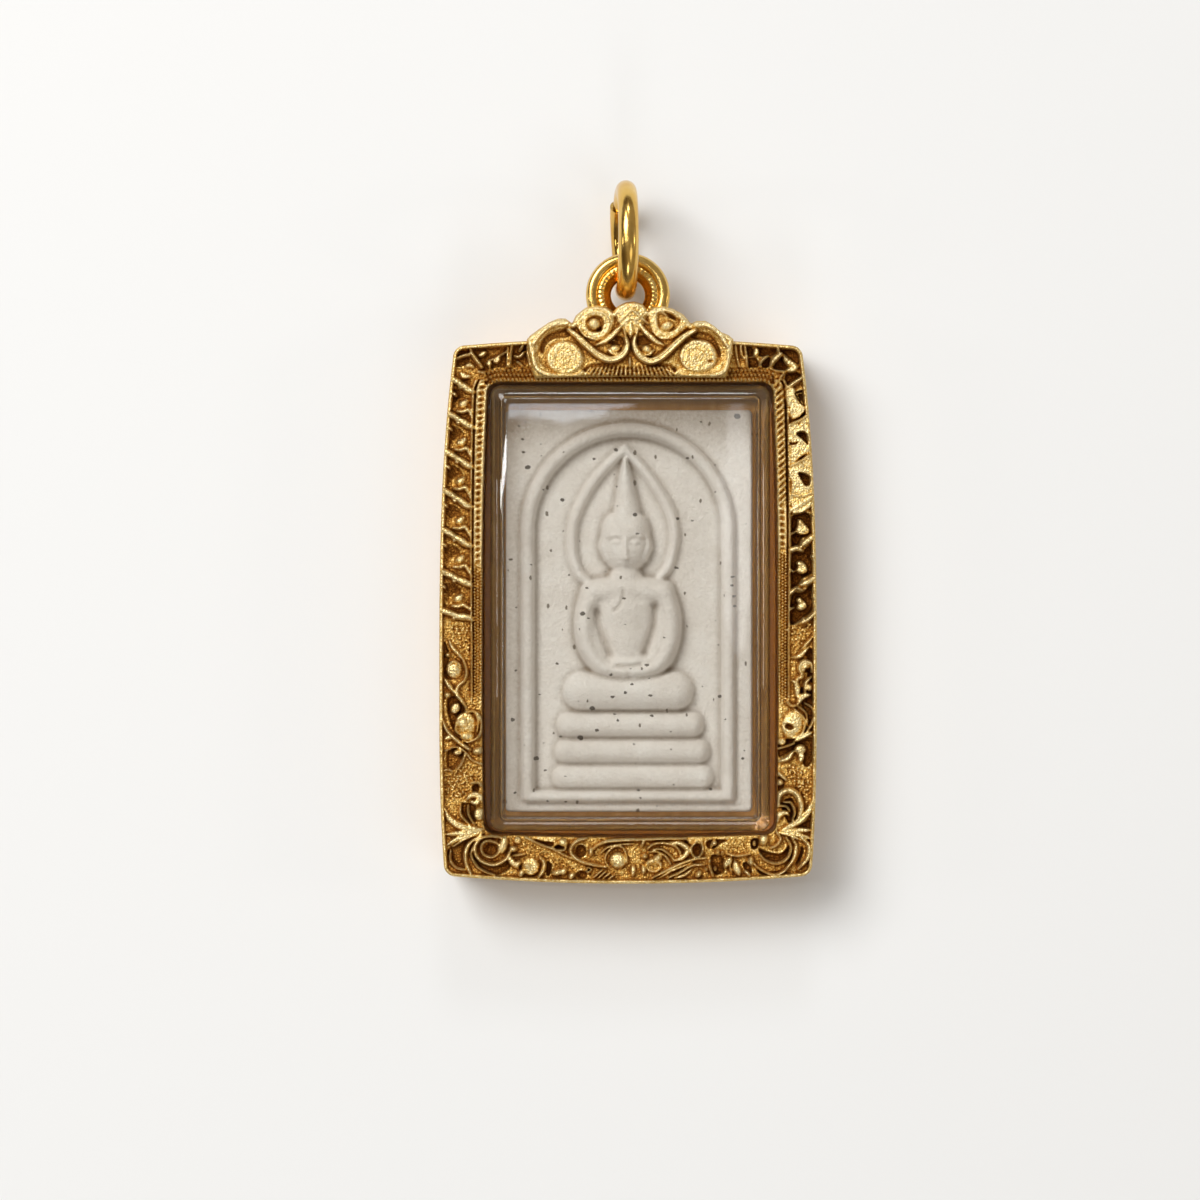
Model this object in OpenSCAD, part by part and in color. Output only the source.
// Amulet pendant lying on its back: front face up, jump ring towards +Y.
// The origin is at the centre of the case's back face.

/* [Case] */
// Widest outside width of the case
case_w = 34.4; // [32:0.1:38]
// Outside width along the top edge
case_top_w = 31.6; // [30:0.1:32]
// Outside width along the bottom edge
case_bottom_w = 33.4; // [31:0.1:34]
// Height of the case between its corners
case_h = 48.4; // [46:0.1:54]
// Thickness from the back face to the outer rim
case_t = 7.4; // [7:0.1:9]
// Outward bow of the top and bottom edges
case_bow = 0.65; // [0.2:0.05:1]
// Radius of the four corners
corner_r = 1.1; // [0.6:0.1:1.8]
// Thickness of the outer and inner walls
wall_t = 0.9; // [0.6:0.1:1.2]
// Thickness of the back plate
back_t = 0.8; // [0.5:0.1:1.2]
// Gap between pieces that fit together
fit_gap = 0.06; // [0.04:0.01:0.1]

/* [Bezel] */
// Width of the bezel along each side
bezel_side = 3.7; // [3.5:0.1:4.2]
// Width of the bezel along the top
bezel_top = 3.3; // [3:0.1:4]
// Width of the bezel along the bottom
bezel_bottom = 3.8; // [3.5:0.1:4.5]
// Thickness of the bezel's front plate
bezel_t = 1.4; // [1:0.1:1.8]
// How much narrower the opening is at its top
opening_taper = 1.1; // [0.6:0.1:1.4]
// Bow of the opening's lower edge
opening_bow = 0.25; // [0.1:0.05:0.5]
// Sideways place of the opening in the case
opening_shift = 0.2; // [0:0.05:0.3]
// Width of the plain outer rim
rim_w = 0.4; // [0.3:0.05:0.6]
// Height of the rim above the ornament's ground
rim_h = 0.45; // [0.3:0.05:0.6]
// Thickness of the rope border
rope_d = 0.7; // [0.5:0.05:0.8]
// Height of the cast ornament above its ground
relief_h = 0.8; // [0.5:0.05:1]

/* [Side ornament] */
// Spacing of the slanted bars
bar_pitch = 3.55; // [3.2:0.05:3.8]
// Width of a slanted bar
bar_w = 0.85; // [0.6:0.05:1]
// Slant of the bars in degrees
bar_slant = 27; // [20:1:35]
// Radius of a bud between two bars
bud_r = 0.95; // [0.8:0.05:1.05]
// Outside radius of a corner scroll
scroll_r = 1.75; // [1.5:0.05:1.9]
// Radius of a flower on the rails
flower_r = 1.15; // [0.9:0.05:1.2]

/* [Crest] */
// Width of the crest between its tails
crest_w = 18.8; // [17:0.1:21]
// Thickness of the crest plate
crest_t = 1.7; // [1.4:0.1:2]
// Height of the crest's ground above the bezel's ground
crest_rise = 0.9; // [0.7:0.1:1.1]

/* [Eyelet] */
// Outside diameter of the eyelet
eyelet_d = 7.7; // [7.2:0.1:7.9]
// Diameter of the hole at its narrowest
eyelet_hole_d = 3.1; // [2.9:0.1:3.3]
// Thickness of the eyelet
eyelet_t = 2.2; // [1.8:0.1:2.4]
// Height of the eyelet's middle above the back face
eyelet_z = 5.2; // [5:0.1:5.4]
// Distance of the eyelet's centre from the case's top corners
eyelet_rise = 4.7; // [4.5:0.1:5]

/* [Jump ring] */
// Outside diameter of the jump ring
ring_d = 11; // [10.8:0.1:11.6]
// Wire diameter of the jump ring
ring_wire_d = 1.85; // [1.6:0.05:1.9]
// Lean of the standing ring in degrees
ring_lean = 3; // [0:0.5:4]
// Width of the cut joint
ring_cut = 0.15; // [0.1:0.05:0.4]
// Clearance between the wire and the top of the hole
ring_gap = 0.2; // [0.15:0.05:0.25]

/* [Cover] */
// Clearance of the cover at the sides of the opening's top
cover_gap_side = 0.2; // [0.15:0.05:0.4]
// Clearance of the cover at both ends of the opening
cover_gap_end = 0.35; // [0.2:0.05:0.6]
// Wall thickness of the cover
cover_wall = 1; // [0.8:0.1:1.2]
// Height of the cover above the outer rim
cover_rise = 0.7; // [0.4:0.1:1.2]
// Radius of the cover's front edges
cover_edge_r = 1.2; // [0.8:0.1:1.6]
// Thickness of the foot that centres the cover
cover_foot_t = 1; // [0.6:0.1:1.4]

/* [Tablet] */
// Clearance between tablet and cover at the sides
tablet_gap_side = 0.35; // [0.25:0.05:0.6]
// Clearance between tablet and cover at the ends
tablet_gap_end = 0.8; // [0.5:0.05:1]
// Thickness of the clay slab
tablet_t = 3.4; // [2.8:0.1:3.8]
// How far the tablet has slid down in the cover
tablet_slip = 0.25; // [0:0.05:0.4]
// Distance of the raised border from the tablet's sides
border_side = 1.5; // [1.2:0.1:1.8]
// Distance of the border's arch from the top edge
border_top = 1.2; // [0.9:0.1:1.5]
// Distance of the border's foot from the lower edge
border_foot = 0.9; // [0.7:0.1:1.2]
// Width of the raised border
border_w = 1.15; // [0.9:0.05:1.4]
// Height of the raised border
border_h = 0.5; // [0.3:0.05:0.7]
// Height of the halo's ridge
halo_h = 0.4; // [0.3:0.05:0.6]

/* [Hidden] */
$fn = 48;

gold = "#D2AC5A";
gold_dark = "#B98F42";
clay = "#D8D2C6";
clear = "#DDE4E6";

// Overlap of raised pieces with their ground
sink = 0.3;

// Opening, cover and tablet, each from what holds it
opening_w = case_w - 2 * bezel_side;
opening_top_w = opening_w - opening_taper;
opening_bottom_w = opening_w - opening_taper / 3;
opening_h = case_h - bezel_top - bezel_bottom;
opening_y = (bezel_bottom - bezel_top) / 2;
cover_w = opening_top_w - 2 * cover_gap_side;
cover_h = opening_h - 2 * cover_gap_end;
cover_top_z = case_t + cover_rise;
tablet_w = cover_w - 2 * (cover_wall + tablet_gap_side);
tablet_h = cover_h - 2 * (cover_wall + tablet_gap_end);
tablet_y = opening_y - tablet_slip;
seat_z = back_t + fit_gap;
ground_z = case_t - rim_h;
crest_z = ground_z + crest_rise;
rail_w = bezel_side - rim_w - rope_d;

// A hundredth of the tablet's width, in which its figure is laid out
unit = tablet_w / 100;

// Eyelet and ring
eyelet_y = case_h / 2 + eyelet_rise;
ring_r = (ring_d - ring_wire_d) / 2;
ring_y = eyelet_y + eyelet_hole_d / 2 - ring_gap - ring_wire_d / 2 + ring_r;
ring_z = ring_r * cos(ring_lean) + ring_wire_d / 2;

// Half width of a barrel-sided outline at height y: widest a little below the middle
widest_share = -0.28;
function half_width(y, top_w, mid_w, bottom_w, h) =
    let (
        v = 2 * y / h,
        up = v > widest_share,
        run = up ? (v - widest_share) / (1 - widest_share) : (widest_share - v) / (1 + widest_share)
    )
    (mid_w - (mid_w - (up ? top_w : bottom_w)) * run ^ 3) / 2;

// Outline with barrel sides, bowed ends and round corners, taken anticlockwise
function barrel_outline(top_w, mid_w, bottom_w, h, bow_top, bow_bottom, r, steps = 10) =
    let (
        side = [for (i = [0:steps])
            let (y = (i / steps * 2 - 1) * (h / 2 - r))
            [half_width(y, top_w, mid_w, bottom_w, h), y]],
        top_in = half_width(h / 2 - r, top_w, mid_w, bottom_w, h) - r,
        bottom_in = half_width(r - h / 2, top_w, mid_w, bottom_w, h) - r,
        top_arc = [for (a = [15:15:75]) [top_in + r * cos(a), h / 2 - r + r * sin(a)]],
        bottom_arc = [for (a = [-75:15:-15]) [bottom_in + r * cos(a), r - h / 2 + r * sin(a)]],
        top_edge = [for (i = [0:steps - 1])
            let (s = i / steps)
            [top_in * (1 - s), h / 2 + bow_top * (1 - (1 - s) ^ 2)]],
        bottom_edge = [for (i = [0:steps - 1])
            let (s = (i + 1) / steps)
            [bottom_in * s, -h / 2 - bow_bottom * (1 - s ^ 2)]],
        right = concat(bottom_edge, bottom_arc, side, top_arc, top_edge),
        top_mid = [[0, h / 2 + bow_top]],
        left = [for (i = [len(right) - 1:-1:0]) [-right[i][0], right[i][1]]],
        bottom_mid = [[0, -h / 2 - bow_bottom]]
    )
    concat(bottom_mid, right, top_mid, left);

// Case outline drawn in by a margin
module case_outline(margin = 0) {
    polygon(barrel_outline(
        case_top_w - 2 * margin, case_w - 2 * margin, case_bottom_w - 2 * margin,
        case_h - 2 * margin, case_bow, case_bow, max(corner_r - margin, 0.3)));
}

// Opening outline let out by a margin
module opening_outline(margin = 0) {
    translate([opening_shift, opening_y])
        polygon(barrel_outline(
            opening_top_w + 2 * margin, opening_w + 2 * margin, opening_bottom_w + 2 * margin,
            opening_h + 2 * margin, 0, opening_bow, corner_r));
}

// Rectangle with round corners
function round_rectangle(w, h, r) =
    [for (c = [[1, 1, 0], [-1, 1, 90], [-1, -1, 180], [1, -1, 270]], a = [0:15:90])
        [c[0] * (w / 2 - r) + r * cos(c[2] + a), c[1] * (h / 2 - r) + r * sin(c[2] + a)]];

// Half width of the case at a height, and the middle line of its rail
function case_x(y) = half_width(y, case_top_w, case_w, case_bottom_w, case_h);
function rail_x(y) = case_x(y) - rim_w - rail_w / 2;

// Straight bar with a bevelled top, centred on the origin along X
module ridge_bar(length, w, h) {
    translate([-length / 2, 0, 0])
        rotate([90, 0, 90])
            linear_extrude(length)
                polygon([[-w / 2, -sink], [w / 2, -sink], [w / 2, h * 0.55],
                    [w * 0.22, h], [-w * 0.22, h], [-w / 2, h * 0.55]]);
}

// Pointed leaf in two steps, centred on the origin along X
module leaf(length, w, h) {
    for (step = [[1, 0.6], [0.62, 1]]) {
        edge = [for (i = [0:8]) [(i / 8 - 0.5) * length * step[0], w / 2 * step[0] * sin(180 * i / 8)]];
        translate([0, 0, -sink])
            linear_extrude(h * step[1] + sink)
                polygon(concat(edge, [for (i = [7:-1:1]) [edge[i][0], -edge[i][1]]]));
    }
}

// Domed bud
module bud(r, h) {
    translate([0, 0, h - r])
        sphere(r);
}

// Spiral band that winds in from radius r
module scroll(r, turns, h) {
    pitch = r / (turns + 0.45);
    w = pitch * 0.58;
    count = round(13 * turns);
    path = [for (i = [0:count])
        let (s = i / count, a = 360 * turns * s, rr = r - w / 2 - pitch * turns * s)
        [rr * cos(a), rr * sin(a), a, w / 2 * (1 - 0.4 * s)]];
    outer = [for (p = path) [p[0] + p[3] * cos(p[2]), p[1] + p[3] * sin(p[2])]];
    inner = [for (i = [count:-1:0])
        let (p = path[i])
        [p[0] - p[3] * cos(p[2]), p[1] - p[3] * sin(p[2])]];
    translate([0, 0, -sink])
        linear_extrude(h + sink)
            polygon(concat(outer, inner));
}

// Curved band between two angles, full in the middle and pointed at its ends
module crescent(r, w, from, to, h) {
    count = ceil(abs(to - from) / 15);
    outer = [for (i = [0:count])
        let (a = from + (to - from) * i / count, rr = r + w / 2 * (0.3 + 0.7 * sin(180 * i / count)))
        [rr * cos(a), rr * sin(a)]];
    inner = [for (i = [count:-1:0])
        let (a = from + (to - from) * i / count, rr = r - w / 2 * (0.3 + 0.7 * sin(180 * i / count)))
        [rr * cos(a), rr * sin(a)]];
    translate([0, 0, -sink])
        linear_extrude(h + sink)
            polygon(concat(outer, inner));
}

// Flower: petals round a centre
module flower(r, h, petals = 6) {
    petal_r = r * 0.36;
    for (i = [0:petals - 1])
        rotate(i * 360 / petals)
            translate([r - petal_r, 0, h * 0.75 - petal_r])
                sphere(petal_r);
    translate([0, 0, h - r * 0.42])
        sphere(r * 0.42);
}

// Upper rail: slanted bars with a bud in each cell, on the right side
bar_count = 7;
bars_top = opening_y + opening_h / 2 - 0.3;
module upper_rail() {
    for (i = [0:bar_count - 1]) {
        y = bars_top - i * bar_pitch;
        translate([rail_x(y), y, ground_z])
            rotate(bar_slant)
                ridge_bar(rail_w, bar_w, relief_h);
        if (i < bar_count - 1)
            translate([rail_x(y) - rail_w * 0.12, y - bar_pitch * 0.52, ground_z])
                bud(bud_r, relief_h * 0.9);
    }
}

// Lower rail on the right side: columns are the kind, the place across the rail and along
// the opening as shares, the turn in degrees and the size as a share of the rail's width
lower_rail_rows = [
    ["leaf", -0.05, -0.09, 48, 1.15],
    ["crescent", 0.1, -0.137, 100, 0.46],
    ["bud", 0.1, -0.137, 0, 0.2],
    ["leaf", 0.18, -0.186, 110, 0.8],
    ["leaf", -0.2, -0.205, 60, 0.7],
    ["flower", -0.05, -0.257, 0, 1],
    ["leaf", 0.05, -0.306, 34, 1.15],
    ["leaf", 0.12, -0.352, 100, 0.85],
    ["leaf", -0.24, -0.35, 70, 0.7],
    ["crescent", 0.02, -0.412, 30, 0.36],
    ["bud", -0.02, -0.408, 0, 0.18],
];
module rail_piece(kind, size) {
    if (kind == "leaf")
        leaf(size, size * 0.2 + rail_w * 0.18, relief_h);
    else if (kind == "crescent")
        crescent(size, rail_w * 0.2, -30, 190, relief_h * 0.9);
    else if (kind == "bud")
        bud(size, relief_h * 0.95);
    else
        flower(flower_r, relief_h);
}
module lower_rail() {
    for (row = lower_rail_rows) {
        y = opening_y + row[2] * opening_h;
        translate([rail_x(y) + row[1] * rail_w, y, ground_z])
            rotate(row[3])
                rail_piece(row[0], rail_w * row[4]);
    }
}

// Corner on the right side: ribs that fan out from the opening, and a scroll
module corner_fan() {
    foot = [opening_w / 2 + rope_d / 2, opening_y - opening_h / 2];
    for (i = [0:5]) {
        a = 12 + i * 13;
        translate([foot[0], foot[1] + 0.9, ground_z])
            rotate(a)
                translate([rail_w * 0.62, 0, 0])
                    ridge_bar(rail_w * 0.66, 0.34, relief_h * 0.8);
    }
}
module corner_scroll() {
    x = case_bottom_w / 2 - rim_w - scroll_r - 0.5;
    y = -case_h / 2 + rim_w + scroll_r + 0.05;
    translate([x, y, ground_z]) {
        scroll(scroll_r, 1.75, relief_h);
        bud(0.5, relief_h);
    }
}

// Bottom band: columns are the kind, the place along half the case's width, the place
// across the band, the turn in degrees and the size as a share of the band
band_rows = [
    ["bud", 0.096, 0.52, 0, 0.24],
    ["crescent", 0.215, 0.66, 30, 0.42],
    ["bud", 0.225, 0.7, 0, 0.14],
    ["leaf", 0.32, 0.24, 170, 0.9],
    ["bud", 0.4, 0.82, 0, 0.16],
    ["bud", 0.42, 0.22, 0, 0.15],
    ["crescent", 0.52, 0.5, 200, 0.34],
    ["bud", 0.53, 0.46, 0, 0.17],
    ["leaf", 0.635, 0.62, 70, 0.75],
    ["bud", 0.66, 0.2, 0, 0.15],
];
module band_piece(kind, size) {
    if (kind == "leaf")
        leaf(size, size * 0.36, relief_h);
    else if (kind == "crescent")
        crescent(size, size * 0.36, -20, 210, relief_h * 0.9);
    else
        bud(size, relief_h * 0.9);
}
module bottom_band() {
    band_h = bezel_bottom - rope_d - rim_w;
    for (row = band_rows) {
        x = row[1] * case_bottom_w / 2;
        y = -case_h / 2 - case_bow * (1 - row[1] ^ 2) + rim_w + band_h * row[2];
        translate([x, y, ground_z])
            rotate(row[3])
                band_piece(row[0], band_h * row[4]);
    }
}

// Top strip on the right side: columns are the place along half the case's width and the turn
top_bars = [[0.68, 90], [0.79, 50], [0.9, 118]];
module top_strip() {
    strip_h = bezel_top - rim_w - rope_d;
    for (row = top_bars)
        translate([row[0] * case_top_w / 2, case_h / 2 - rim_w - strip_h / 2, ground_z])
            rotate(row[1])
                ridge_bar(strip_h + 0.4, 0.5, relief_h * 0.8);
}

// Rope border round the opening, as a plain half-round ridge
module rope_border() {
    translate([0, 0, ground_z - sink])
        linear_extrude(sink + rope_d * 0.55)
            difference() {
                opening_outline(rope_d);
                opening_outline(0);
            }
    translate([0, 0, ground_z])
        linear_extrude(rope_d * 0.75)
            difference() {
                opening_outline(rope_d * 0.8);
                opening_outline(rope_d * 0.2);
            }
}

// Crest: all lengths are shares of its width, from the middle of the case's top edge
crest_lobes = [[0, 0.107, 0.093], [0.146, 0.081, 0.092], [0.33, -0.004, 0.118]];
crest_spine = [[0.5, 0.015], [0.43, 0.055], [0.29, 0.09], [0.06, 0.1], [0, 0.1]];
crest_foot = [[0.24, -0.165], [0.44, -0.14]];
module crest_plate() {
    right = concat(crest_foot, crest_spine);
    left = [for (i = [len(right) - 2:-1:0]) [-right[i][0], right[i][1]]];
    linear_extrude(crest_t)
        union() {
            polygon([for (p = concat(right, left)) p * crest_w]);
            for (lobe = crest_lobes, side = lobe[0] == 0 ? [1] : [-1, 1])
                translate([side * lobe[0], lobe[1]] * crest_w)
                    circle(lobe[2] * crest_w);
        }
}

// Right half of the crest's relief: a disc in a crescent leaf, an eye, and a curling ribbon
module crest_half() {
    translate([0.325, -0.05] * crest_w) {
        translate([0, 0, -sink])
            cylinder(sink + relief_h * 0.7, 0.086 * crest_w, 0.078 * crest_w);
        crescent(0.121 * crest_w, 0.055 * crest_w, -115, 78, relief_h);
    }
    translate([0.15, 0.078] * crest_w) {
        crescent(0.066 * crest_w, 0.03 * crest_w, -200, 120, relief_h * 0.9);
        bud(0.036 * crest_w, relief_h);
    }
    ribbon_w = 0.035 * crest_w;
    translate([0.208, -0.012] * crest_w)
        rotate(38)
            ridge_bar(0.24 * crest_w, ribbon_w, relief_h * 1.2);
    translate([0.075, -0.048] * crest_w) {
        crescent(0.055 * crest_w, ribbon_w * 1.1, 165, 325, relief_h * 1.1);
        bud(0.024 * crest_w, relief_h * 0.8);
    }
    for (i = [0:5])
        translate([0.02 + 0.032 * i, -0.13] * crest_w)
            rotate(90)
                ridge_bar(0.045 * crest_w, 0.013 * crest_w, relief_h * 0.35);
}
module crest() {
    translate([0, case_h / 2 + case_bow / 2, crest_z]) {
        translate([0, 0, -crest_t])
            crest_plate();
        for (side = [0, 1])
            mirror([side, 0, 0])
                crest_half();
        for (row = [[0.105, 0.15], [-0.002, 0.11]])
            translate([0, row[0] * crest_w, 0])
                rotate(90)
                    leaf(row[1] * crest_w, row[1] * crest_w * 0.6, relief_h * 0.9);
    }
}

// Eyelet: a ring with a rounded band, a groove, an inner rim and a flared hole
module eyelet() {
    outer = eyelet_d / 2;
    hole = eyelet_hole_d / 2;
    flare = hole + (outer - hole) * 0.28;
    groove = hole + (outer - hole) * 0.5;
    half = eyelet_t / 2;
    front = [[hole, half * 0.2], [flare, half * 0.85], [groove - 0.1, half * 0.85], [groove, half * 0.65],
        [groove + 0.1, half * 0.95], [groove + 0.4, half], [outer - 0.35, half], [outer, half * 0.55]];
    translate([0, eyelet_y, eyelet_z])
        rotate_extrude()
            polygon(concat(front, [for (i = [len(front) - 1:-1:0]) [front[i][0], -front[i][1]]]));
    // Solder that joins the eyelet to the case's top wall and to the crest
    solder_w = eyelet_d * 0.55;
    translate([-solder_w / 2, case_h / 2 - wall_t / 2, eyelet_z - half * 0.8])
        cube([solder_w, eyelet_rise - hole - 0.9 + wall_t / 2, crest_z - crest_t + sink - eyelet_z + half * 0.8]);
}

// Case body: outer wall, front plate and inner wall, open at the back for the back plate
module case_body() {
    difference() {
        linear_extrude(ground_z)
            case_outline();
        translate([0, 0, -1])
            linear_extrude(case_t + 2)
                opening_outline();
        translate([0, 0, -1])
            linear_extrude(case_t - bezel_t + 1)
                difference() {
                    case_outline(wall_t);
                    opening_outline(wall_t);
                }
        translate([0, 0, -1])
            linear_extrude(seat_z + 1)
                opening_outline(wall_t * 1.5);
    }
    translate([0, 0, ground_z - sink])
        linear_extrude(rim_h + sink)
            difference() {
                case_outline();
                case_outline(rim_w);
            }
}

module case_frame() {
    color(gold) {
        case_body();
        rope_border();
        for (side = [0, 1])
            mirror([side, 0, 0]) {
                upper_rail();
                lower_rail();
                corner_fan();
                corner_scroll();
                bottom_band();
                top_strip();
            }
        crest();
        eyelet();
    }
}

// Plate that closes the back, let in between the outer walls
module back_plate() {
    color(gold_dark)
        linear_extrude(back_t)
            case_outline(wall_t + fit_gap);
}

// Clear cover: a box with round front edges, open at the back, on a foot that fits the opening
module crystal_cover() {
    corner = 0.9;
    color(clear, 0.4)
        translate([opening_shift, opening_y, 0])
            difference() {
                union() {
                    hull()
                        for (i = [0:4]) {
                            a = i * 90 / 4;
                            inset = cover_edge_r * (1 - cos(a));
                            translate([0, 0, seat_z])
                                linear_extrude(cover_top_z - seat_z - cover_edge_r * (1 - sin(a)))
                                    polygon(round_rectangle(cover_w - 2 * inset, cover_h - 2 * inset, corner));
                        }
                    translate([-opening_shift, -opening_y, seat_z])
                        linear_extrude(cover_foot_t)
                            opening_outline(-fit_gap);
                }
                translate([0, 0, seat_z - 1])
                    linear_extrude(cover_top_z - cover_wall - seat_z + 1)
                        polygon(round_rectangle(
                            cover_w - 2 * cover_wall, cover_h - 2 * cover_wall, corner * 0.6));
            }
}

// Clay slab with softened front edges
module slab() {
    soft = 0.35;
    hull()
        for (step = [[0, soft], [soft * 0.3, soft * 0.4], [soft, 0]])
            linear_extrude(tablet_t - step[1])
                polygon(round_rectangle(tablet_w - 2 * step[0], tablet_h - 2 * step[0], 0.5));
}

// Outline of the raised border: straight sides and foot, round arch at the top
module arch_outline(margin) {
    half = tablet_w / 2 - border_side;
    foot = border_foot - tablet_h / 2;
    arch_y = tablet_h / 2 - border_top - half;
    translate([0, arch_y])
        circle(half - margin);
    translate([margin - half, foot + margin])
        square([2 * (half - margin), arch_y - foot - margin]);
}
module arch_border() {
    for (step = [[0, 0.6], [0.2, 1]])
        translate([0, 0, -sink])
            linear_extrude(border_h * step[1] + sink)
                difference() {
                    arch_outline(border_w * step[0]);
                    arch_outline(border_w * (1 - step[0]));
                }
}

// Half-sunk round forms of the figure, with width, height and rise in hundredths
module dome(x, y, w, h, rise) {
    translate([x * unit, y * unit, 0])
        scale([w / 2, h / 2, rise])
            sphere(unit, $fn = 16);
}
module limb(a, b) {
    hull()
        for (end = [a, b])
            dome(end[0], end[1], 2 * end[2], 2 * end[2], end[3]);
}
module step_block(half_w, low, high, rise) {
    hull()
        for (step = [[0, 0.6], [0.8, 1]])
            translate([(step[0] - half_w) * unit, (low + step[0]) * unit, -sink])
                cube([2 * (half_w - step[0]) * unit, (high - low - 2 * step[0]) * unit,
                    rise * unit * step[1] + sink]);
}

// Halo: a ridge that rises from the shoulders to a point over the crown
halo_half = [[16, 12.5], [20, 19], [21.6, 28], [20, 37.5], [14.5, 46.5], [7, 56], [0, 65.5]];
halo_middle = 28;
halo_inner = 0.84;
module halo() {
    outer = concat(halo_half, [for (i = [len(halo_half) - 2:-1:0]) [-halo_half[i][0], halo_half[i][1]]]);
    inner = [for (i = [len(outer) - 1:-1:0])
        [outer[i][0] * halo_inner, (outer[i][1] - halo_middle) * halo_inner + halo_middle]];
    translate([0, 0, -sink])
        linear_extrude(halo_h + sink)
            polygon([for (p = concat(outer, inner)) p * unit]);
}

// Head with ears and a tall pointed crown, upright body, arms and folded legs
module figure() {
    dome(0, 28, 20, 26, 6);
    dome(0, 38, 14, 9, 5.5);
    limb([0, 42, 4, 3.6], [0, 62, 0.9, 1.4]);
    limb([0, 14, 5, 4], [0, 20, 5, 4]);
    hull() {
        dome(-9, 7, 17, 13, 5);
        dome(9, 7, 17, 13, 5);
        dome(0, -16, 13, 12, 4.6);
    }
    for (side = [-1, 1]) {
        dome(side * 9.6, 27, 3, 12, 3.4);
        limb([side * 17, 8.5, 5, 4.6], [side * 18.6, -12, 3.5, 4.6]);
        limb([side * 18.6, -12, 3.5, 4.6], [side * 5, -24, 3.4, 5.4]);
        limb([side * 20.5, -33, 5.6, 5], [side * 2, -30, 6.5, 6.6]);
    }
    limb([-14, -36, 4.2, 6], [14, -36, 4.2, 6]);
}

// Three steps of the seat: columns are half the width, the lower and upper edge and the rise
seat_rows = [[29.4, -51, -39.5, 4], [31.6, -61.4, -50.6, 4.6], [32.6, -72, -62, 4.2]];

module amulet_tablet() {
    color(clay)
        translate([opening_shift / 2, tablet_y, seat_z]) {
            slab();
            translate([0, 0, tablet_t]) {
                arch_border();
                halo();
                figure();
                for (row = seat_rows)
                    step_block(row[0], row[1], row[2], row[3]);
            }
        }
}

// Round wire ring standing on edge, its cut joint towards the back
module jump_ring() {
    cut_angle = ring_cut / ring_r * 180 / PI;
    joint_at = 150;
    color(gold)
        translate([0, ring_y, ring_z])
            rotate([0, ring_lean, 0])
                rotate([0, 90, 0])
                    rotate(joint_at)
                        rotate_extrude(angle = 360 - cut_angle)
                            translate([ring_r, 0])
                                circle(ring_wire_d / 2);
}

case_frame();
back_plate();
crystal_cover();
amulet_tablet();
jump_ring();
